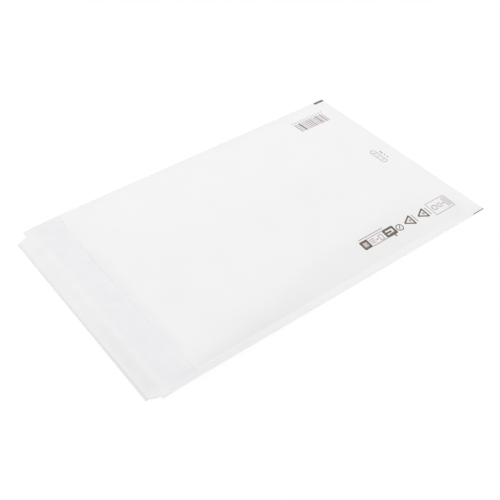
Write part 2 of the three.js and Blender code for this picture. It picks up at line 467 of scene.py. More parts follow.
def arithmetic(material, operation, first, second):
    node = add_node(material, "ShaderNodeMath", operation=operation)
    join(material, first, node.inputs[0])
    if isinstance(second, float):
        node.inputs[1].default_value = second
    else:
        join(material, second, node.inputs[1])
    return node.outputs["Value"]


# %% [markdown]
# Most finishes have three things in common: a grain, a tint that goes from one colour to
# another with it, and a bump. Each has a helper, and a last one coats a finish with them.

# %% Helpers for grain, tint and bump
def object_noise(material, scale, detail=2.0, stretch=(1, 1, 1)):
    place = add_node(material, "ShaderNodeTexCoord")
    scaled = add_node(material, "ShaderNodeMapping", {"Scale": stretch})
    grain = add_node(material, "ShaderNodeTexNoise", {"Scale": scale, "Detail": detail})
    join(material, place.outputs["Object"], scaled.inputs["Vector"])
    join(material, scaled.outputs["Vector"], grain.inputs["Vector"])
    return grain.outputs["Fac"]


def tinted(material, factor, dark, light):
    blend = add_node(material, "ShaderNodeMix", data_type="RGBA")
    blend.inputs["A"].default_value = (*dark, 1)
    blend.inputs["B"].default_value = (*light, 1)
    join(material, factor, blend.inputs["Factor"])
    return blend.outputs["Result"]


def bumped(material, height, strength, distance, normal=None):
    bump = add_node(material, "ShaderNodeBump", {"Strength": strength, "Distance": distance})
    join(material, height, bump.inputs["Height"])
    if normal:
        join(material, normal, bump.inputs["Normal"])
    return bump.outputs["Normal"]


def coat(material, shader, colour, normal):
    join(material, colour, shader.inputs["Base Color"])
    join(material, normal, shader.inputs["Normal"])
    print("finish:", material.name)


# %% [markdown]
# ## White paper
# The outer sheet is bleached kraft paper. Up close it has fibres that lie along the web and a
# soft cloudiness, and the bubbles behind it print through as dimples set in a honeycomb. Three
# cosine waves at sixty degrees make that honeycomb, and an attribute on the mesh keeps it on the
# padded area. A second attribute says how much shade is painted into the paper's colour.

# %% Dimples and painted shade of the paper
BUBBLE_PITCH = 10.5 * MM
# Colour multiplied in where shade is painted onto the paper
PAINTED_SHADE_TINT = (0.88, 0.881, 0.892)


def honeycomb(material):
    place = add_node(material, "ShaderNodeTexCoord")
    ring = 4 * math.pi / math.sqrt(3) / BUBBLE_PITCH
    waves = []
    for turn in range(3):
        angle = math.radians(60 * turn)
        dot = add_node(material, "ShaderNodeVectorMath", operation="DOT_PRODUCT")
        dot.inputs[1].default_value = (ring * math.cos(angle), ring * math.sin(angle), 0)
        join(material, place.outputs["Object"], dot.inputs[0])
        wave = add_node(material, "ShaderNodeMath", operation="COSINE")
        join(material, dot.outputs["Value"], wave.inputs[0])
        waves.append(wave.outputs["Value"])
    total = arithmetic(material, "ADD", waves[0], waves[1])
    total = arithmetic(material, "ADD", total, waves[2])
    padded = add_node(material, "ShaderNodeAttribute", attribute_name="padding")
    return arithmetic(material, "MULTIPLY", total, padded.outputs["Fac"])


# Multiplies painted shade into a colour, as far as the attribute on the mesh says
def with_painted_shade(material, colour):
    painted_shade = add_node(material, "ShaderNodeAttribute", attribute_name="painted_shade")
    painted_shade_mix = add_node(material, "ShaderNodeMix", data_type="RGBA", blend_type="MULTIPLY")
    painted_shade_mix.inputs["B"].default_value = (*PAINTED_SHADE_TINT, 1)
    join(material, painted_shade.outputs["Fac"], painted_shade_mix.inputs["Factor"])
    join(material, colour, painted_shade_mix.inputs["A"])
    return painted_shade_mix.outputs["Result"]


print("dimples", round(BUBBLE_PITCH / MM, 1), "mm apart")

# %% [markdown]
# The inside of the sheet has no dimples, and is cooler and more mottled. Both sides are the same
# paper, so one function makes them, and the dimples are added to the outside alone.

# %% Paper, outside and inside
def paper_material(name, dark, light, cloud_scale):
    material, shader = new_material(name, light, roughness=0.62, shine=0.2)
    cloud = object_noise(material, cloud_scale, detail=5.0)
    colour = with_painted_shade(material, tinted(material, cloud, dark, light))
    fibres = object_noise(material, scale=1800, detail=4.0, stretch=(1, 0.25, 1))
    normal = bumped(material, fibres, strength=0.15, distance=0.03 * MM)
    return material, shader, colour, normal


white_paper, white_shader, white_colour, fibre_normal = paper_material(
    "white_paper", dark=(0.862, 0.86, 0.865), light=(0.898, 0.896, 0.898), cloud_scale=30
)
dimpled = bumped(
    white_paper, honeycomb(white_paper), strength=0.3, distance=0.012 * MM, normal=fibre_normal
)
coat(white_paper, white_shader, white_colour, dimpled)
inner_paper, inner_shader, inner_colour, inner_normal = paper_material(
    "inner_paper", dark=(0.812, 0.813, 0.826), light=(0.872, 0.873, 0.886), cloud_scale=75
)
coat(inner_paper, inner_shader, inner_colour, inner_normal)

# %% [markdown]
# ## The outer paper
# The real envelope is one long sheet: flap, front panel and back panel in a row. The folded form
# could be built panel by panel, but then the panels would have to be sewn up. So the sheet is
# cut flat first. Its rows are finest at the rim and round the fold, and the seams get twice as
# many rows as the panels.

# %% Lay out the flat sheet
FOLD_ARC = 1 * MM
FRONT_END = Y_FOLD - Y_TIP
SHEET_LENGTH = FRONT_END + FOLD_ARC + BODY_LENGTH
ROW = 1 * MM
RIM_ROW = 0.3 * MM
RIM_BAND = 3 * MM
FOLD_ROW = FOLD_ARC / 4
LEVEL_COLUMN = 12.5 * MM
EDGE_MARGIN = 0.02 * MM
# Columns of the grid in millimetres, in from the side edge and in from the seam
SEAM_COLUMNS = (0, 2, 4, 6, 7.3)
SLOPE_COLUMNS = (0, 1.2, 2.6, 4.4, 6.6, 9, 12, 15.5, 19.5, 24, 29, 35, 42)

right_columns = [HALF_WIDTH - run * MM for run in SEAM_COLUMNS]
right_columns += [X_PANEL - run * MM for run in SLOPE_COLUMNS]
right_columns += steps(right_columns[-1], 0, LEVEL_COLUMN)[1:]
sheet_columns = [-x for x in right_columns[:-1]] + right_columns[::-1]
sheet_rows = steps(0, RIM_BAND, RIM_ROW)
sheet_rows += steps(RIM_BAND, FRONT_END, ROW)[1:]
sheet_rows += steps(FRONT_END, FRONT_END + FOLD_ARC, FOLD_ROW)[1:]
sheet_rows += steps(FRONT_END + FOLD_ARC, SHEET_LENGTH, ROW)[1:]
sheet = flat_grid(sheet_columns, sheet_rows)
seam_edges = []
for edge in sheet.edges:
    first, second = edge.verts
    in_seam = min(abs(first.co.x), abs(second.co.x)) > X_PANEL - EDGE_MARGIN
    if in_seam and abs(first.co.y - second.co.y) > ROW / 2:
        seam_edges.append(edge)
bmesh.ops.subdivide_edges(sheet, edges=seam_edges, cuts=1, use_grid_fill=True)
print("flat sheet", round(SHEET_LENGTH / MM), "mm long,", len(sheet.faces), "faces")

# %% [markdown]
# The flap ends in a tab with tapered sides, cut a little off centre. The knife lines are planes
# that slice the grid, and what lies outside them is cleared away. That leaves clean straight
# edges, which moving the grid's own points would not.

# %% Cut the tab
TAB_LENGTH = 12 * MM
NOTCH_LEFT = 8.4 * MM
NOTCH_RIGHT = 2.6 * MM
TAB_TAPER = 4.5 * MM
CUT_TOLERANCE = 1e-7


def faces_before(bm, y_notch):
    return [face for face in bm.faces if face.calc_center_median().y < y_notch]


def cut_corner(bm, side, notch, y_tip, y_notch):
    root = Vector((side * (HALF_WIDTH - notch), y_notch, 0))
    tip = Vector((side * (HALF_WIDTH - notch - TAB_TAPER), y_tip, 0))
    outward = (root - tip).cross(Vector((0, 0, side)))
    tab = faces_before(bm, y_notch)
    edges = {edge for face in tab for edge in face.edges}
    verts = {vert for face in tab for vert in face.verts}
    bmesh.ops.bisect_plane(
        bm, geom=[*tab, *edges, *verts], dist=CUT_TOLERANCE, plane_co=root, plane_no=outward
    )
    waste = []
    for face in faces_before(bm, y_notch):
        if (face.calc_center_median() - root).dot(outward) > 0:
            waste.append(face)
    bmesh.ops.delete(bm, geom=waste, context="FACES")


cut_corner(sheet, -1, NOTCH_LEFT, 0, TAB_LENGTH)
cut_corner(sheet, 1, NOTCH_RIGHT, 0, TAB_LENGTH)
sheet_area = sum(face.calc_area() for face in sheet.faces)
print("flat sheet", round(sheet_area, 4), "square metres")

# %% [markdown]
# Shade is painted into the sheet's colour here: the near weld is painted darker than the rest,
# one flank of each rib darker still, where it faces away from the lamp, and the near side of the
# flap a little darker too. A number on every point of the sheet says how much shade is painted
# there, because that follows the sheet through its folds.

# %% Painted shade of the weld, the ribs and the flap
# How strongly shade is painted on the rib flanks and on the near side of the flap
RIB_PAINTED_SHADE = 0.36
FLAP_PAINTED_SHADE = 0.13
FLAP_SHADE_INSIDE = 2 * MM
FLAP_SHADE_RUN = 14 * MM
NEAR_FROM = -30 * MM
NEAR_RUN = 120 * MM
WELD_SHADE_INSIDE = 2 * MM
WELD_SHADE_RUN = 5 * MM
# Place along the near weld, and how much shade is painted on it there
WELD_PAINTED_SHADES = [
    (-148 * MM, 0.37),
    (-105 * MM, 0.36),
    (-60 * MM, 0.25),
    (0, 0.13),
    (160 * MM, 0.1),
    (185 * MM, 0.24),
]


def near_share(x):
    return ease((x - NEAR_FROM) / NEAR_RUN)


# Painted shade on the near side of the flap
def flap_painted_shade(x, y):
    return FLAP_PAINTED_SHADE * near_share(x) * ease((Y_MOUTH + FLAP_SHADE_INSIDE - y) / FLAP_SHADE_RUN)


# Painted shade along the near weld, fading in from its inner edge
def weld_painted_shade(x, y):
    painted_shade = between_places(WELD_PAINTED_SHADES, y)[0]
    return painted_shade * ease((x - X_PANEL + WELD_SHADE_INSIDE) / WELD_SHADE_RUN)


# Painted shade on the flank of each near rib that faces away from the lamp
def rib_painted_shade(x, y):
    if x < X_PANEL - RIB_EDGE:
        return 0.0
    return -RIB_PAINTED_SHADE * math.sin(rib_turn(y)) * rib_depth(y) / RIB_AT_MOUTH


print("weld is grey by", round(weld_painted_shade(HALF_WIDTH, Y_MOUTH), 2), "at the mouth")

# %% [markdown]
# Folding is one function from a place on the flat sheet to a place in the envelope. The bottom
# fold is a half turn as thick as the pressed seam. The lip is drawn back a little in its middle,
# and leans out over the flap where the padding bulges beside the weld.

# %% Fold the sheet
LIP_PULL = 0.4 * MM
LIP_LEAN = 0.6


def fold_paper(x, along):
    if along <= FRONT_END:
        y = Y_TIP + along
        return x, y, front_height(x, y)
    turned = along - FRONT_END
    if turned < FOLD_ARC:
        low = front_height(x, Y_FOLD)
        high = back_height(x, Y_FOLD)
        angle = math.pi * turned / FOLD_ARC
        radius = (high - low) / 2
        return x, Y_FOLD + radius * math.sin(angle), low + radius * (1 - math.cos(angle))
    y = Y_FOLD - (turned - FOLD_ARC)
    lean = LIP_LEAN * weld_bulge(x, y) * (1 - ease((y - Y_MOUTH) / LIP_REACH))
    return x, y + LIP_PULL * lip_share(x, y) - lean, back_height(x, y)


padding_layer = sheet.verts.layers.float.new("padding")
painted_shade_layer = sheet.verts.layers.float.new("painted_shade")
for vert in sheet.verts:
    x, along = vert.co.xy
    y = Y_TIP + along
    # Painted shade: flap and ribs on the front, near weld and ribs on the back
    vert[painted_shade_layer] = flap_painted_shade(x, y) + rib_painted_shade(x, y)
    if along > FRONT_END + FOLD_ARC:
        y = Y_FOLD - (along - FRONT_END - FOLD_ARC)
        vert[painted_shade_layer] = weld_painted_shade(x, y) + rib_painted_shade(x, y)
        vert[padding_layer] = padding(x, y)
    vert.co = fold_paper(x, along)
bmesh.ops.reverse_faces(sheet, faces=sheet.faces[:])
sheet.normal_update()
print("lip is", round(back_height(0, Y_MOUTH) / MM, 2), "mm high in its middle")

# %% [markdown]
# The sheet gets its thickness on the inside, so that its outside keeps its size. The faces that
# solidify adds are the inside and the cut edges. A cut edge touches the outside, so it can be
# told from the inside, and it is as white as the outside.

# %% Give the sheet its thickness
outside = set(sheet.faces)
bmesh.ops.solidify(sheet, geom=sheet.faces[:], thickness=PAPER)
for face in sheet.faces:
    beside = {other for edge in face.edges for other in edge.link_faces}
    face.material_index = 1 if outside.isdisjoint(beside) else 0
sheet_tree = BVHTree.FromBMesh(sheet)
paper = finish_piece("folded_paper", sheet, white_paper, inner_paper)
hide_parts("outer_paper")

# %% [markdown]
# What is glued or printed on the paper has to follow it closely. A ray dropped onto the finished
# sheet finds its top at any place, on the back panel as well as on the flap.

# %% Top of the paper at a place
RAY_START = 2 * CROWN


def paper_top(x, y):
    x = math.copysign(min(abs(x), HALF_WIDTH - EDGE_MARGIN), x)
    y = min(max(y, Y_TIP + EDGE_MARGIN), Y_FOLD - EDGE_MARGIN)
    return sheet_tree.ray_cast(Vector((x, y, RAY_START)), Vector((0, 0, -1)))[0].z


print("flap top", round(paper_top(0, Y_TIP + FLAP_LENGTH / 2) / MM, 2), "mm")

# %% [markdown]
# ## The bubble film
# The liner is a sheet of clear film, folded once, with its smooth side towards the goods and its
# bubbles towards the paper. Only its edge shows at the mouth, and there the white paper behind
# it makes it look white. So it gets a pale satin finish, which renders faster and cleaner than
# many layers of clear film.

# %% Film material
film, film_shader = new_material("bubble_film", (0.88, 0.885, 0.89), roughness=0.5, shine=0.15)
film_haze = object_noise(film, scale=160, detail=3.0)
film_tint = tinted(film, film_haze, dark=(0.85, 0.852, 0.86), light=(0.895, 0.897, 0.905))
film_grain = object_noise(film, scale=420)
coat(film, film_shader, film_tint, bumped(film, film_grain, strength=0.25, distance=0.08 * MM))

# %% [markdown]
# The film is folded like the paper, by a function of the place on the flat sheet. Its layers lie
# close together halfway between the two layers of paper. At the mouth the lower layer comes up
# under the lip, peeps out past it and lies down on the flap, with a slight crinkle.

# %% Height of the film
FILM = 0.08 * MM
FILM_GAP = 0.02 * MM
POCKET_HALF = 0.15 * MM
FILM_SETTLE = 10 * MM
X_LINER = liner_high.x
Y_LINER_EDGE = liner_low.y
Y_LINER_FOLD = liner_high.y
PEEK = Y_MOUTH - Y_LINER_EDGE
PEEK_LIFT = 0.02 * MM
PEEK_WAVE = 0.06 * MM
CRINKLE = 9 * MM
CRINKLE_PLACE = (0.2, 6.3)  # row of the noise that the crinkle is taken from


def film_height(x, y, layer):
    inside = max(y, Y_MOUTH)
    low = front_height(x, inside) + PAPER + FILM + FILM_GAP
    high = back_height(x, inside) - PAPER - FILM - FILM_GAP
    half = min(POCKET_HALF, max((high - low) / 2, FILM_GAP))
    level = (low + high) / 2 + layer * half
    if layer < 0:
        under_lip = high + FILM
        level = mix(under_lip, level, ease((y - Y_MOUTH - LIP_PULL) / FILM_SETTLE))
    if y >= Y_MOUTH:
        return level
    crinkle = PEEK_WAVE * (0.5 + 0.5 * noise.noise((x / CRINKLE, *CRINKLE_PLACE)))
    resting = front_height(x, y) + PAPER + FILM + PEEK_LIFT + crinkle
    return mix(level, resting, ease((Y_MOUTH - y) / PEEK))


print("film peeps out by", round(PEEK / MM, 1), "mm")

# %% [markdown]
# The edge that peeps out runs back towards the sides, where the welds hold it in. The upper
# layer starts further in, where the lip hides it.

# %% Fold the film
UPPER_SETBACK = 12 * MM
PEEK_ROUND = 14 * MM
PEEK_AT_SIDE = 0.15  # share of the peek that is left at the sides
FILM_COLUMN = 3.5 * MM
FILM_ROW = 5 * MM
SETTLE_ROW = 1 * MM
PEEK_ROW = 0.4 * MM
film_turn = Y_LINER_FOLD - Y_LINER_EDGE
film_end = film_turn + Y_LINER_FOLD - (Y_MOUTH + UPPER_SETBACK)


def fold_film(x, along):
    if along <= film_turn:
        y = Y_LINER_EDGE + along
        if along < PEEK:
            kept = mix(PEEK_AT_SIDE, 1, ease((X_LINER - abs(x)) / PEEK_ROUND))
            y = Y_MOUTH - (PEEK - along) * kept
        return x, y, film_height(x, y, -1)
    y = Y_LINER_FOLD - (along - film_turn)
    return x, y, film_height(x, y, 1)


film_rows = steps(0, PEEK, PEEK_ROW)
film_rows += steps(PEEK, PEEK + FILM_SETTLE, SETTLE_ROW)[1:]
film_rows += steps(PEEK + FILM_SETTLE, film_turn, FILM_ROW)[1:]
film_rows += steps(film_turn, film_end, FILM_ROW)[1:]
film_sheet = flat_grid(steps(-X_LINER, X_LINER, FILM_COLUMN), film_rows)
for vert in film_sheet.verts:
    vert.co = fold_film(vert.co.x, vert.co.y)
bmesh.ops.reverse_faces(film_sheet, faces=film_sheet.faces[:])
film_sheet.normal_update()
bmesh.ops.solidify(film_sheet, geom=film_sheet.faces[:], thickness=-FILM)
print("film sheet", len(film_sheet.faces), "faces")

# %% [markdown]
# Every bubble is a short ten-sided cone, as tall as the least room between film and paper over
# its foot. A rounder bubble would cost many faces that nobody sees. Where the room is too small
# the bubble is squashed flat, so none is made.

# %% One bubble
BUBBLE_RADIUS = 4.6 * MM
BUBBLE_SIDES = 10
BUBBLE_TAPER = 0.72
BUBBLE_PROBES = 6
BUBBLE_CLEARANCE = 0.12 * MM
BUBBLE_LEAST = 0.4 * MM


def bubble_room(x, y, layer):
    if layer < 0:
        return film_height(x, y, layer) - FILM - front_height(x, y) - PAPER - BUBBLE_CLEARANCE
    return back_height(x, y) - PAPER - BUBBLE_CLEARANCE - film_height(x, y, layer) - FILM


def stand_bubble(bm, x, y, layer):
    rooms = [bubble_room(x, y, layer)]
    for i in range(BUBBLE_PROBES):
        angle = math.tau * i / BUBBLE_PROBES
        probe_x = x + BUBBLE_RADIUS * math.cos(angle)
        probe_y = y + BUBBLE_RADIUS * math.sin(angle)
        rooms.append(bubble_room(probe_x, probe_y, layer))
    height = min(rooms)
    if height < BUBBLE_LEAST:
        return 0
    base = film_height(x, y, layer) + layer * FILM
    turn = Matrix.Rotation(0 if layer > 0 else math.pi, 4, "X")
    bmesh.ops.create_cone(
        bm,
        cap_ends=True,
        segments=BUBBLE_SIDES,
        radius1=BUBBLE_RADIUS,
        radius2=BUBBLE_RADIUS * BUBBLE_TAPER,
        depth=height,
        matrix=Matrix.Translation((x, y, base + layer * height / 2)) @ turn,
    )
    return 1


print("room for a bubble in the middle", round(bubble_room(0, 0, 1) / MM, 2), "mm")

# %% [markdown]
# The bubbles stand in staggered rows on both layers. A row is made as a small mesh of its own
# and then added to the film, which is much quicker than adding cones to a large mesh.

# %% Stand the bubbles on the film
BUBBLE_MARGIN = 8 * MM
bubble_count = 0
row_mesh = bpy.data.meshes.new("bubble_row")
row_step = BUBBLE_PITCH * math.sqrt(3) / 2
reach = int((X_LINER - BUBBLE_RADIUS) / BUBBLE_PITCH)
row_places = steps(Y_MOUTH + BUBBLE_MARGIN, Y_LINER_FOLD - BUBBLE_MARGIN, row_step)
for row, y in enumerate(row_places):
    bubble_row = bmesh.new()
    for column in range(-reach, reach + 1):
        x = (column + 0.5 * (row % 2)) * BUBBLE_PITCH
        if abs(x) < X_LINER - BUBBLE_RADIUS:
            bubble_count += stand_bubble(bubble_row, x, y, -1)
            bubble_count += stand_bubble(bubble_row, x, y, 1)
    bubble_row.to_mesh(row_mesh)
    bubble_row.free()
    film_sheet.from_mesh(row_mesh)
bpy.data.meshes.remove(row_mesh)
liner = finish_piece("bubble_film", film_sheet, film)
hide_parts("bubble_liner")
print(bubble_count, "bubbles")

# %% [markdown]
# ## The adhesive and its cover
# A band of hot melt lies along the flap under a peel-off strip. It is laid on the paper as a
# thin grid, so it takes on the waves of the flap, and a coarse bump gives it the uneven surface
# of glue that was rolled on warm.

# %% Adhesive band
ADHESIVE_THICKNESS = 0.1 * MM
ADHESIVE_GAP = 0.015 * MM
BAND_COLUMN = 3 * MM
BAND_ROW = 1 * MM

hot_melt, melt_shader = new_material("hot_melt", (0.83, 0.8, 0.68), roughness=0.3)
melt_cloud = object_noise(hot_melt, scale=240)
melt_tint = tinted(hot_melt, melt_cloud, dark=(0.78, 0.74, 0.6), light=(0.86, 0.83, 0.72))
melt_grain = object_noise(hot_melt, scale=300)
melt_bump = bumped(hot_melt, melt_grain, strength=0.4, distance=0.08 * MM)
coat(hot_melt, melt_shader, melt_tint, melt_bump)

band_columns = steps(adhesive_low.x, adhesive_high.x, BAND_COLUMN)
band = flat_grid(band_columns, steps(adhesive_low.y, adhesive_high.y, BAND_ROW))
for vert in band.verts:
    vert.co.z = paper_top(vert.co.x, vert.co.y) + ADHESIVE_GAP
bmesh.ops.solidify(band, geom=band.faces[:], thickness=-ADHESIVE_THICKNESS)
adhesive = finish_piece("adhesive_band", band, hot_melt)
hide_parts("adhesive_strip")

# %% [markdown]
# The cover is coated paper, smooth and thin enough to let the band show through as a warmer and
# darker tint. Real thin paper could be made see-through, but two tints and an attribute that
# says where the band lies give the same look with less noise.

# %% Coated paper of the release strip
coated, coated_shader = new_material(
    "coated_paper", (0.86, 0.86, 0.86), roughness=0.5, shine=0.17
)
bare_cloud = object_noise(coated, scale=60, detail=4.0)
bare_tint = tinted(coated, bare_cloud, dark=(0.826, 0.826, 0.837), light=(0.877, 0.877, 0.888))
backed_cloud = object_noise(coated, scale=75, detail=4.0)
backed_tint = tinted(
    coated, backed_cloud, dark=(0.785, 0.787, 0.786), light=(0.842, 0.843, 0.842)
)
backed = add_node(coated, "ShaderNodeAttribute", attribute_name="over_band")
coated_blend = add_node(coated, "ShaderNodeMix", data_type="RGBA")
join(coated, backed.outputs["Fac"], coated_blend.inputs["Factor"])
join(coated, bare_tint, coated_blend.inputs["A"])
join(coated, backed_tint, coated_blend.inputs["B"])
coated_colour = with_painted_shade(coated, coated_blend.outputs["Result"])
coated_grain = object_noise(coated, scale=1500)
coated_bump = bumped(coated, coated_grain, strength=0.08, distance=0.03 * MM)
coat(coated, coated_shader, coated_colour, coated_bump)

# %% [markdown]
# The strip reaches from one edge of the flap to the other, so its ends are cut by the same knife
# as the tab, a little further in. It swells over the band, and its inner edge curls up slightly.
# The band's darker tint is laid on more strongly towards the near side, as painted shade.

# %% Release strip
RELEASE_THICKNESS = 0.07 * MM
RELEASE_GAP = 0.025 * MM
MELT_EDGE = 0.7 * MM
MELT_SPREAD = 1 * MM
MELT_BLUR = 6 * MM
BAND_TINT_FAR_SHARE = 0.2
EDGE_CURL = 0.03 * MM
CURL_REACH = 2 * MM
CUT_INSET = 0.6 * MM
STRIP_COLUMN = 2 * MM
STRIP_ROW = 0.5 * MM
Y_NOTCH = Y_TIP + TAB_LENGTH + CUT_INSET


def over_band(x, y):
    across = min(x - adhesive_low.x, adhesive_high.x - x)
    along = min(y - adhesive_low.y, adhesive_high.y - y)
    return min(across, along)


# The band shows through the strip; towards the near side its tint grows as painted shade
def band_tint_and_painted_shade(x, y):
    shown = mix(BAND_TINT_FAR_SHARE, 1, near_share(x))
    return shown * ease((over_band(x, y) + MELT_SPREAD) / MELT_BLUR)


def release_height(x, y):
    step_up = (ADHESIVE_GAP + ADHESIVE_THICKNESS) * ease(over_band(x, y) / MELT_EDGE + 1)
    curl = EDGE_CURL * unit(1 - (release_high.y - y) / CURL_REACH) ** 2
    return paper_top(x, y) + RELEASE_GAP + step_up + curl


strip_rows = steps(release_low.y, Y_NOTCH, STRIP_ROW)
strip_rows += steps(Y_NOTCH, release_high.y, STRIP_ROW)[1:]
strip = flat_grid(steps(release_low.x, release_high.x, STRIP_COLUMN), strip_rows)
cut_corner(strip, -1, NOTCH_LEFT + CUT_INSET, Y_TIP, Y_NOTCH)
cut_corner(strip, 1, NOTCH_RIGHT + CUT_INSET, Y_TIP, Y_NOTCH)
band_tint_layer = strip.verts.layers.float.new("over_band")
cover_painted_shade = strip.verts.layers.float.new("painted_shade")
for vert in strip.verts:
    x, y = vert.co.xy
    # The strip gets the same painted shade as the flap beneath it
    vert[cover_painted_shade] = flap_painted_shade(x, y)
    vert[band_tint_layer] = band_tint_and_painted_shade(x, y)
    vert.co.z = release_height(x, y)
bmesh.ops.solidify(strip, geom=strip.faces[:], thickness=-RELEASE_THICKNESS)
release = finish_piece("release_strip", strip, coated)
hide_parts("release_liner")

# %% [markdown]
# ## The print
# One dark brown ink marks the back panel, laid on full for bold marks and as a screen of tiny
# dots, which reads as a paler brown, for fine ones. It could be a picture on the paper, but a
# shape of its own has crisp edges at any distance.

# %% Ink
def ink_material(name, dark, light):
    material, shader = new_material(name, light, roughness=0.55)
    speckle = object_noise(material, scale=900, detail=3.0)
    normal = bumped(material, speckle, strength=0.1, distance=0.02 * MM)
    coat(material, shader, tinted(material, speckle, dark, light), normal)
    return material


full_ink = ink_material("full_ink", dark=(0.1, 0.077, 0.056), light=(0.14, 0.109, 0.08))
screened_ink = ink_material("screened_ink", dark=(0.39, 0.305, 0.31), light=(0.47, 0.37, 0.38))

# %% [markdown]
# Every mark is a flat shape made from boxes, lines, discs and outlines. They are placed as on a
# drawing, by their sides, their ends or their centres, in millimetres across and along the
# envelope. A disc with three sides is a triangle, and rounded corners are bevels.

# %% Shapes to print
CORNER_SEGMENTS = 5
DOT_RADIUS = 0.8
DOT_SIDES = 12


def rounded(bm, verts, corner):
    face = verts[0].link_faces[0]
    if corner == 0:
        return face
    others = set(bm.faces) - {face}
    bmesh.ops.bevel(
        bm,
        geom=verts,
        offset=corner * MM,
        affect="VERTICES",
        segments=CORNER_SEGMENTS,
        profile=0.5,
        material=-1,
    )
    return next(face for face in bm.faces if face not in others)


def add_rectangle(bm, x, y, length, width, turn=0.0):
    made = bmesh.ops.create_grid(bm, x_segments=1, y_segments=1, size=0.5)["verts"]
    bmesh.ops.scale(bm, vec=(length * MM, width * MM, 1), verts=made)
    bmesh.ops.rotate(bm, cent=(0, 0, 0), matrix=Matrix.Rotation(turn, 3, "Z"), verts=made)
    bmesh.ops.translate(bm, vec=(x * MM, y * MM, 0), verts=made)
    return made


def add_box(bm, x0, x1, y0, y1, corner=0.0):
    made = add_rectangle(bm, (x0 + x1) / 2, (y0 + y1) / 2, x1 - x0, y1 - y0)
    return rounded(bm, made, corner)


def add_line(bm, x0, y0, x1, y1, width):
    length = math.hypot(x1 - x0, y1 - y0)
    turn = math.atan2(y1 - y0, x1 - x0)
    add_rectangle(bm, (x0 + x1) / 2, (y0 + y1) / 2, length, width, turn)


def add_disc(bm, x, y, radius, sides, turn=0.0, corner=0.0):
    turned = Matrix.Rotation(math.radians(turn), 4, "Z")
    place = Matrix.Translation((x * MM, y * MM, 0)) @ turned
    made = bmesh.ops.create_circle(
        bm, cap_ends=True, radius=radius * MM, segments=sides, matrix=place
    )
    return rounded(bm, made["verts"], corner)


def add_dot(bm, x, y):
    add_disc(bm, x, y, DOT_RADIUS, DOT_SIDES)


def outline(bm, face, line):
    bmesh.ops.inset_region(
        bm, faces=[face], thickness=line * MM, use_boundary=True, use_even_offset=True
    )
    bmesh.ops.delete(bm, geom=[face], context="FACES")


# %% [markdown]
# The shapes are sliced into short pieces, as a map is by its grid, and laid on the paper a few
# hundredths of a millimetre proud. Without the slices a long bar would cut through the swells.

# %% Lay the shapes on the paper
INK_LIFT = 0.05 * MM
INK = 0.03 * MM
INK_STEP = 2 * MM


def slice_across(bm, axis, step):
    places = [vert.co[axis] for vert in bm.verts]
    normal = Vector((0, 0, 0))
    normal[axis] = 1
    for place in steps(min(places), max(places), step)[1:-1]:
        everything = [*bm.verts, *bm.edges, *bm.faces]
        bmesh.ops.bisect_plane(
            bm, geom=everything, dist=CUT_TOLERANCE, plane_co=normal * place, plane_no=normal
        )


def screen_all_but(bm, full_faces):
    for face in bm.faces:
        face.material_index = 0 if face in full_faces else 1


def lay_print(name, bm, step=INK_STEP):
    slice_across(bm, 0, step)
    slice_across(bm, 1, step)
    for vert in bm.verts:
        vert.co.z = paper_top(vert.co.x, vert.co.y) + INK_LIFT
    bm.normal_update()
    for face in bm.faces:
        if face.normal.z < 0:
            face.normal_flip()
    bmesh.ops.solidify(bm, geom=bm.faces[:], thickness=-INK)
    return finish_piece(name, bm, full_ink, screened_ink)


# %% [markdown]
# The press leaves a short dark mark on the web at each corner of the bottom end, so that the
# cutter knows where one envelope stops. The marks run over the ribs of the seams, so they are
# sliced into four steps for each rib.

# %% Corner marks
MARK_STEP = RIB_PITCH / 4
marks = bmesh.new()
add_box(marks, -124.4, -121.3, 186.4, 200)
add_box(marks, 124.1, 125, 185, 200)
lay_print("corner_marks", marks, MARK_STEP)

# %% [markdown]
# A block of bars stands near the far corner, with a row of small ticks beside it. It is a plain
# pattern: five bar widths come round again and again, and every fourth bar is printed in full.
# A loop places the bars, so their spacing is one number.

# %% Bar block
BAR_WIDTHS = (1.5, 0.9, 2.0, 0.9, 1.3)
BAR_SPACE = 1.75
BAR_SIDES = (-102.2, -86.6)
BARS_START = 138.4
BARS_END = 181.4
BOLD_FIRST = 2
BOLD_EVERY = 4
TICKS = 12
TICK_SIDES = (-107, -103.4)
TICK_ENDS = (0.7, -0.3)
TICK_LINE = 0.7

bar_places = []
bar_start = BARS_START
while bar_start < BARS_END:
    width = BAR_WIDTHS[len(bar_places) % len(BAR_WIDTHS)]
    bar_places.append((bar_start, width))
    bar_start += width + BAR_SPACE
bold_places = bar_places[BOLD_FIRST::BOLD_EVERY]
fine_places = [place for place in bar_places if place not in bold_places]
bars = bmesh.new()
for y, width in bold_places:
    add_box(bars, *BAR_SIDES, y, y + width)
bold_bars = set(bars.faces)
for y, width in fine_places:
    add_box(bars, *BAR_SIDES, y, y + width)
for i in range(TICKS):
    y = mix(BARS_START, BARS_END, i / (TICKS - 1))
    add_line(bars, TICK_SIDES[0], y + TICK_ENDS[0], TICK_SIDES[1], y + TICK_ENDS[1], TICK_LINE)
screen_all_but(bars, bold_bars)
lay_print("bar_block", bars)

# %% [markdown]
# A row of pictograms runs along the near side: a rounded label at each end of a bar, a ring and
# two triangles. Each is kept to plain outlines, discs and lines. The bold shapes come first, so
# that what is added after them can be told apart and screened.

# %% Icon row
ICON_MIDDLE = 94.9
TRIANGLE_CENTRES = (123.8, 142.7)
TRIANGLE_DOT = 0.4
TRIANGLE_BASE = 7
LABEL_LINES = (92.3, 94.5, 96.7)
FINE = 0.8
MEDIUM = 0.9
BOLD = 1.1

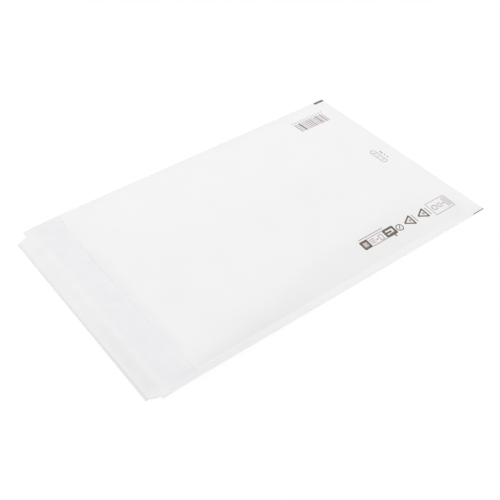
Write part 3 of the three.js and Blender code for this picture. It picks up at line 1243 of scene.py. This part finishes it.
icons = bmesh.new()
outline(icons, add_box(icons, 89.2, 99.9, 59.8, 69.4, corner=1.4), line=2.3)
outline(icons, add_box(icons, 89.4, 100.1, 89.3, 103.4, corner=1.6), line=2.6)
add_box(icons, 93.8, 95.8, 91.2, 98.4)
add_box(icons, 100.1, 102.8, 97.8, 99.2)
add_dot(icons, 95.2, 79.2)
outline(icons, add_disc(icons, 96, 108.7, radius=4.2, sides=32), line=MEDIUM)
add_line(icons, 98.4, 106.9, 93.6, 110.5, FINE)
for centre in TRIANGLE_CENTRES:
    triangle = add_disc(icons, ICON_MIDDLE, centre, radius=8.3, sides=3, turn=180, corner=1.9)
    outline(icons, triangle, line=1.6)
full_icons = set(icons.faces)
add_line(icons, 86.8, 61.8, 86.8, 93.6, MEDIUM)
add_line(icons, 89.6, 69.4, 89.6, 89.3, FINE)
add_line(icons, 99.7, 69.4, 99.7, 89.3, MEDIUM)
for x in LABEL_LINES:
    add_line(icons, x, 62.3, x, 67, width=1.3)
    add_line(icons, x, 70.9, x, 76.8, FINE)
outline(icons, add_box(icons, 91.8, 98.7, 81.7, 86.7, corner=0.9), line=FINE)
add_line(icons, 97, 94.2, 97, 100.6, BOLD)
for centre in TRIANGLE_CENTRES:
    add_disc(icons, ICON_MIDDLE, centre + TRIANGLE_DOT, radius=1.5, sides=16)
    base = centre + TRIANGLE_BASE
    add_line(icons, 89.8, base, 100, base, BOLD)
screen_all_but(icons, full_icons)
lay_print("icon_row", icons)

# %% [markdown]
# Two smaller groups end the row: a framed box with a few plain shapes in it, and halfway across
# the panel an oval with a dash and two dots beside it.

# %% Framed box and the small oval
THIN = 0.7
framed = bmesh.new()
add_dot(framed, 95.4, 171.2)
add_line(framed, -7.2, 181.6, -2.8, 181.6, BOLD)
for x in (0.4, 4.8):
    add_dot(framed, x, 181.6)
full_framed = set(framed.faces)
outline(framed, add_box(framed, 86.5, 104.3, 153.5, 180.5), line=0.6)
outline(framed, add_disc(framed, 95.2, 159.2, radius=3.7, sides=6), line=MEDIUM)
outline(framed, add_box(framed, 92.6, 98, 164.2, 168.6), line=THIN)
for y in (174, 176.2, 178.4):
    add_line(framed, 88.6, y, 101.8, y, FINE)
outline(framed, add_box(framed, -12.8, 11.2, 170, 177, corner=3.3), line=THIN)
for x in (-7, -0.8, 5.4):
    add_line(framed, x - 1.4, 172.2, x + 1.4, 174.8, MEDIUM)
screen_all_but(framed, full_framed)
lay_print("framed_box", framed)

# %% [markdown]
# ## Stage and light
# The envelope lies on a white floor under a white sky, and both have to look white without
# flooding the paper with light. A Light Path node can tell what a ray is for: light that is
# looked at, straight or by way of a mirror or glass, can be set apart from light that only
# falls on things.

# %% Light that is looked at
def light_seen(material):
    seen = add_node(material, "ShaderNodeLightPath").outputs
    looked_at = arithmetic(material, "MAXIMUM", seen["Is Camera Ray"], seen["Is Glossy Ray"])
    return arithmetic(material, "MAXIMUM", looked_at, seen["Is Transmission Ray"])


# %% [markdown]
# The floor is lit like the paper but shows lighter to the camera, so the background is white and
# still takes a faint shadow. It lies a hair below the envelope, so that the two never mix.

# %% Floor
FLOOR_GLOW = 0.97
FLOOR_HALF = 6
FLOOR_DROP = 0.05 * MM

floor_mesh = bmesh.new()
bmesh.ops.create_grid(floor_mesh, x_segments=1, y_segments=1, size=FLOOR_HALF)
bmesh.ops.translate(floor_mesh, vec=(0, 0, -FLOOR_DROP), verts=floor_mesh.verts[:])
floor_data = bpy.data.meshes.new("floor")
floor_mesh.to_mesh(floor_data)
floor_mesh.free()
floor = bpy.data.objects.new("floor", floor_data)
bpy.context.collection.objects.link(floor)

floor_white, floor_shader = new_material(
    "floor_white", (0.97, 0.97, 0.97), roughness=0.9, shine=0.0
)
glow = add_node(floor_white, "ShaderNodeEmission", {"Strength": 1.0})
glow_share = arithmetic(floor_white, "MULTIPLY", light_seen(floor_white), FLOOR_GLOW)
floor_blend = add_node(floor_white, "ShaderNodeMixShader")
join(floor_white, glow_share, floor_blend.inputs["Fac"])
join(floor_white, floor_shader.outputs["BSDF"], floor_blend.inputs[1])
join(floor_white, glow.outputs["Emission"], floor_blend.inputs[2])
floor_output = floor_white.node_tree.nodes["Material Output"]
join(floor_white, floor_blend.outputs["Shader"], floor_output.inputs["Surface"])
floor_data.materials.append(floor_white)
print("floor", round(floor.dimensions.x), "m wide")

# %% [markdown]
# The sky lights the scene at half strength and is fully white where it is looked at, so that low
# views have no grey band above the floor. A very broad lamp high on the far left makes every
# slope that faces right a little darker, which is what shows the padding.

# %% World and lamp
SKY = 0.5
KEY_POWER = 870
KEY_LENGTH = 11.6
KEY_WIDTH = 8.8
KEY_DISTANCE = 11
KEY_TILT = math.radians(27)
KEY_BACK = math.radians(9)

world = bpy.data.worlds.new("studio")
world.use_nodes = True
sky = world.node_tree.nodes["Background"]
sky.inputs["Color"].default_value = (1, 1, 1, 1)
sky_added = arithmetic(world, "MULTIPLY", light_seen(world), 1 - SKY)
sky_strength = arithmetic(world, "ADD", sky_added, SKY)
join(world, sky_strength, sky.inputs["Strength"])
bpy.context.scene.world = world

key_data = bpy.data.lights.new("key", "AREA")
key_data.shape = "RECTANGLE"
key_data.size = KEY_LENGTH
key_data.size_y = KEY_WIDTH
key_data.energy = KEY_POWER
key = bpy.data.objects.new("key", key_data)
direction = Vector((-math.tan(KEY_TILT), math.tan(KEY_BACK), 1)).normalized()
key.location = direction * KEY_DISTANCE
key.rotation_mode = "QUATERNION"
key.rotation_quaternion = (-key.location).to_track_quat("-Z", "Y")
bpy.context.collection.objects.link(key)
print("lamp at", [round(c, 2) for c in key.location])

# %% [markdown]
# ## Picture
# The Standard view transform shows white as white, where a film-like one would grey it.

# %% Picture settings
bpy.context.scene.view_settings.view_transform = "Standard"
